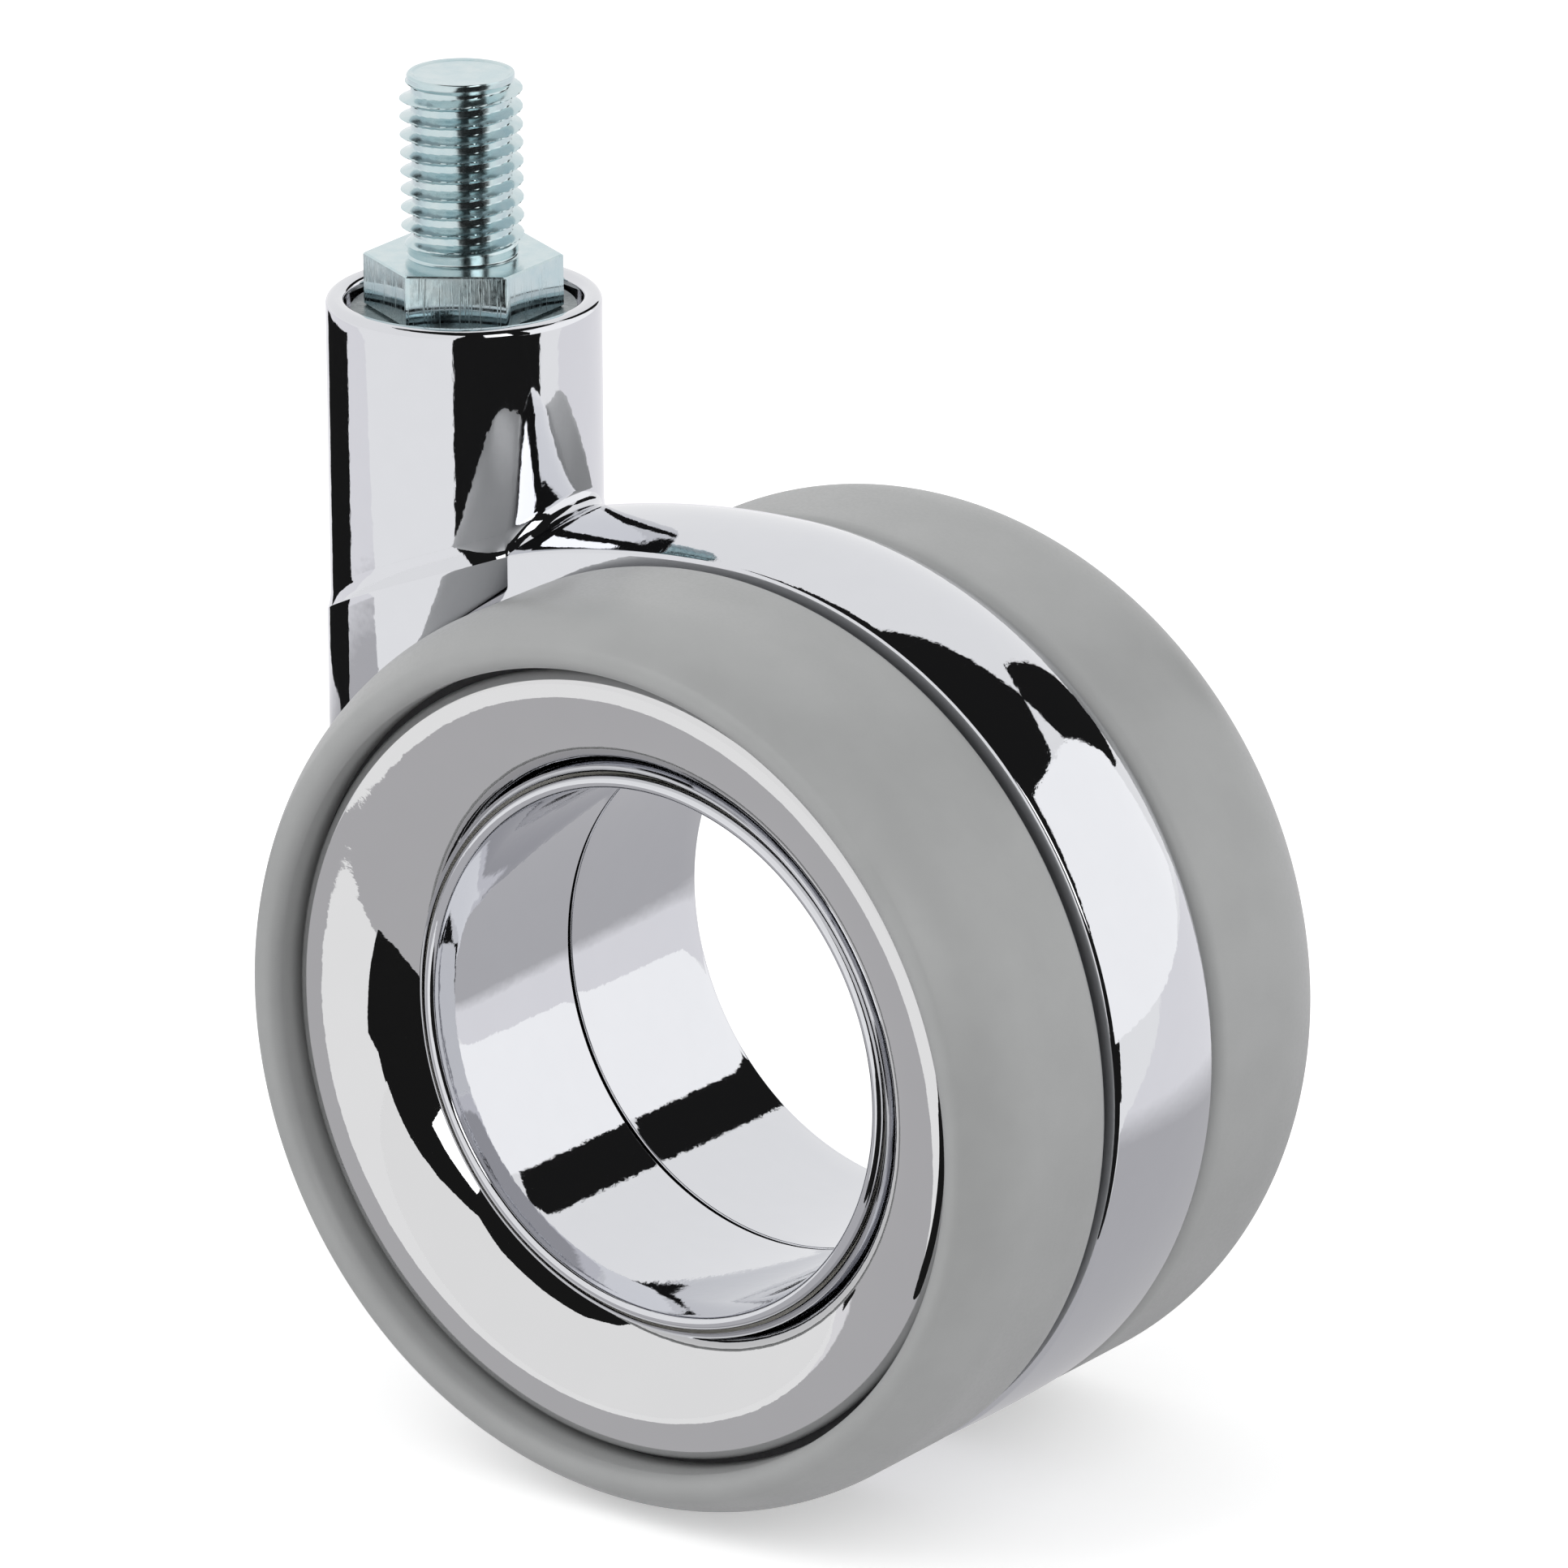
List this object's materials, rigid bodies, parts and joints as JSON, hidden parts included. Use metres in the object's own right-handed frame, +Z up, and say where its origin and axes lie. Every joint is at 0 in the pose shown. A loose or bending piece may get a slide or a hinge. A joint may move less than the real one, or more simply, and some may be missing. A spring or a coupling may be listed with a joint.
{
  "type": "swivel castor",
  "caption": "Swivel castor with a threaded stem, a chromed ring-shaped housing and soft wheels on open sleeves, open through the middle.",
  "frame": {"origin": "on the stem's axis, at the top face of the hexagon collar, which meets the furniture", "axes": "+Z up along the threaded stem, +X towards the wheels, which trail behind the stem, +Y along the wheels' axis"},
  "size_m": [0.0813, 0.0478, 0.1088],
  "materials": {
    "chrome": "polished chrome on zinc die casting and steel",
    "chromed_plastic": "polished chrome on plastic",
    "zinc_plated_steel": "bright zinc plating",
    "bearing_steel": "ground",
    "slide_plastic": "moulded",
    "core_plastic": "moulded",
    "soft_tread": "satin, soft moulded tread"
  },
  "bodies": {
    "stem": {"threaded_stem": "zinc_plated_steel", "dust_washer": "zinc_plated_steel", "bearing_inner_race": "bearing_steel", "spacer_sleeve": "zinc_plated_steel", "stem_circlip": "bearing_steel"},
    "swivel": {"housing": "chrome", "bore_sleeve_left": "chrome", "bore_sleeve_right": "chrome", "side_washer_left": "slide_plastic", "side_washer_right": "slide_plastic", "bearing_outer_race": "bearing_steel", "lower_bush": "slide_plastic"},
    "ball_cage": {"bearing_balls": "bearing_steel", "bearing_cage": "slide_plastic"},
    "wheel_left": {"tyre_left": "soft_tread", "wheel_core_left": "core_plastic", "rim_dish_left": "chromed_plastic", "glide_ring_left": "slide_plastic"},
    "wheel_right": {"tyre_right": "soft_tread", "wheel_core_right": "core_plastic", "rim_dish_right": "chromed_plastic", "glide_ring_right": "slide_plastic"}
  },
  "joints": [
    {"name": "swivel_turn", "type": "hinge", "parent": "stem", "child": "swivel", "pos_m": [0, 0, 0], "axis": [0, 0, 1], "continuous": true},
    {"name": "cage_turn", "type": "hinge", "parent": "stem", "child": "ball_cage", "pos_m": [0, 0, 0], "axis": [0, 0, 1], "continuous": true},
    {"name": "wheel_left_turn", "type": "hinge", "parent": "swivel", "child": "wheel_left", "pos_m": [0.0315, 0, -0.0563], "axis": [0, 1, 0], "continuous": true},
    {"name": "wheel_right_turn", "type": "hinge", "parent": "swivel", "child": "wheel_right", "pos_m": [0.0315, 0, -0.0563], "axis": [0, 1, 0], "continuous": true}
  ],
  "couplings": [
    {"joint": "cage_turn", "follows": "swivel_turn", "ratio": 0.6111}
  ]
}
